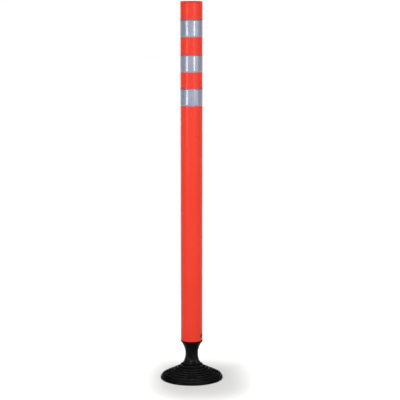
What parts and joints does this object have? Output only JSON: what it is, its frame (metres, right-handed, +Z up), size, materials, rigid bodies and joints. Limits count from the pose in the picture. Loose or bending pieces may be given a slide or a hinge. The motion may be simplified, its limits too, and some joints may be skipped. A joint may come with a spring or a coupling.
{
  "type": "delineator post",
  "caption": "Flexible surface-mount delineator: orange tube with silver reflective bands on a sprung rubber neck and a round black bolt-down base.",
  "frame": {"origin": "centre of the base's underside, on the ground", "axes": "+Z up along the post; -Y is the front, +X is to the right of someone facing the front"},
  "size_m": [0.2032, 0.2032, 1.2192],
  "materials": {
    "black_rubber": "moulded black rubber, satin, with stepped rings",
    "pad_rubber": "grooved black rubber pad, dull",
    "boot_rubber": "smooth moulded black rubber, satin",
    "plate_steel": "black electrocoated steel",
    "zinc_steel": "zinc-plated turned steel",
    "sleeve_steel": "black coated steel",
    "screw_steel": "black oxide screws",
    "spring_steel": "oiled black spring steel",
    "wire_rope": "galvanised wire rope",
    "black_nylon": "moulded black glass-filled nylon",
    "plug_nylon": "moulded black nylon",
    "pin_steel": "dark passivated steel",
    "orange_polyethylene": "extruded fluorescent red-orange polyethylene, satin gloss",
    "cap_polyethylene": "moulded red-orange polyethylene",
    "silver_sheeting": "silver retroreflective sheeting under a clear gloss film"
  },
  "bodies": {
    "base": {"base_moulding": "black_rubber", "base_plate": "plate_steel", "base_pad": "pad_rubber", "anchor_sleeves": "sleeve_steel", "hub_collar": "black_nylon", "lower_spring_mount": "zinc_steel", "mount_screws": "screw_steel", "cable_stop_lower": "zinc_steel"},
    "neck": {"neck_boot": "boot_rubber", "coil_spring": "spring_steel", "restraint_cable": "wire_rope"},
    "post": {"cable_stop_upper": "zinc_steel", "upper_spring_mount": "zinc_steel", "tube_plug": "plug_nylon", "cross_pin": "pin_steel", "pin_retainer": "pin_steel", "post_tube": "orange_polyethylene", "top_cap": "cap_polyethylene", "reflective_band_1": "silver_sheeting", "reflective_band_2": "silver_sheeting", "reflective_band_3": "silver_sheeting"}
  },
  "joints": [
    {"name": "neck_bend_front_back", "type": "hinge", "parent": "base", "child": "neck", "pos_m": [0, 0, 0.082], "axis": [1, 0, 0], "range_deg": [-90, 90], "stiffness_Nm_per_rad": 30, "deforming": ["neck_boot", "coil_spring", "restraint_cable"]},
    {"name": "neck_bend_side", "type": "hinge", "parent": "neck", "child": "post", "pos_m": [0, 0, 0.082], "axis": [0, 1, 0], "range_deg": [-90, 90], "stiffness_Nm_per_rad": 30, "deforming": ["neck_boot", "coil_spring", "restraint_cable"]}
  ]
}
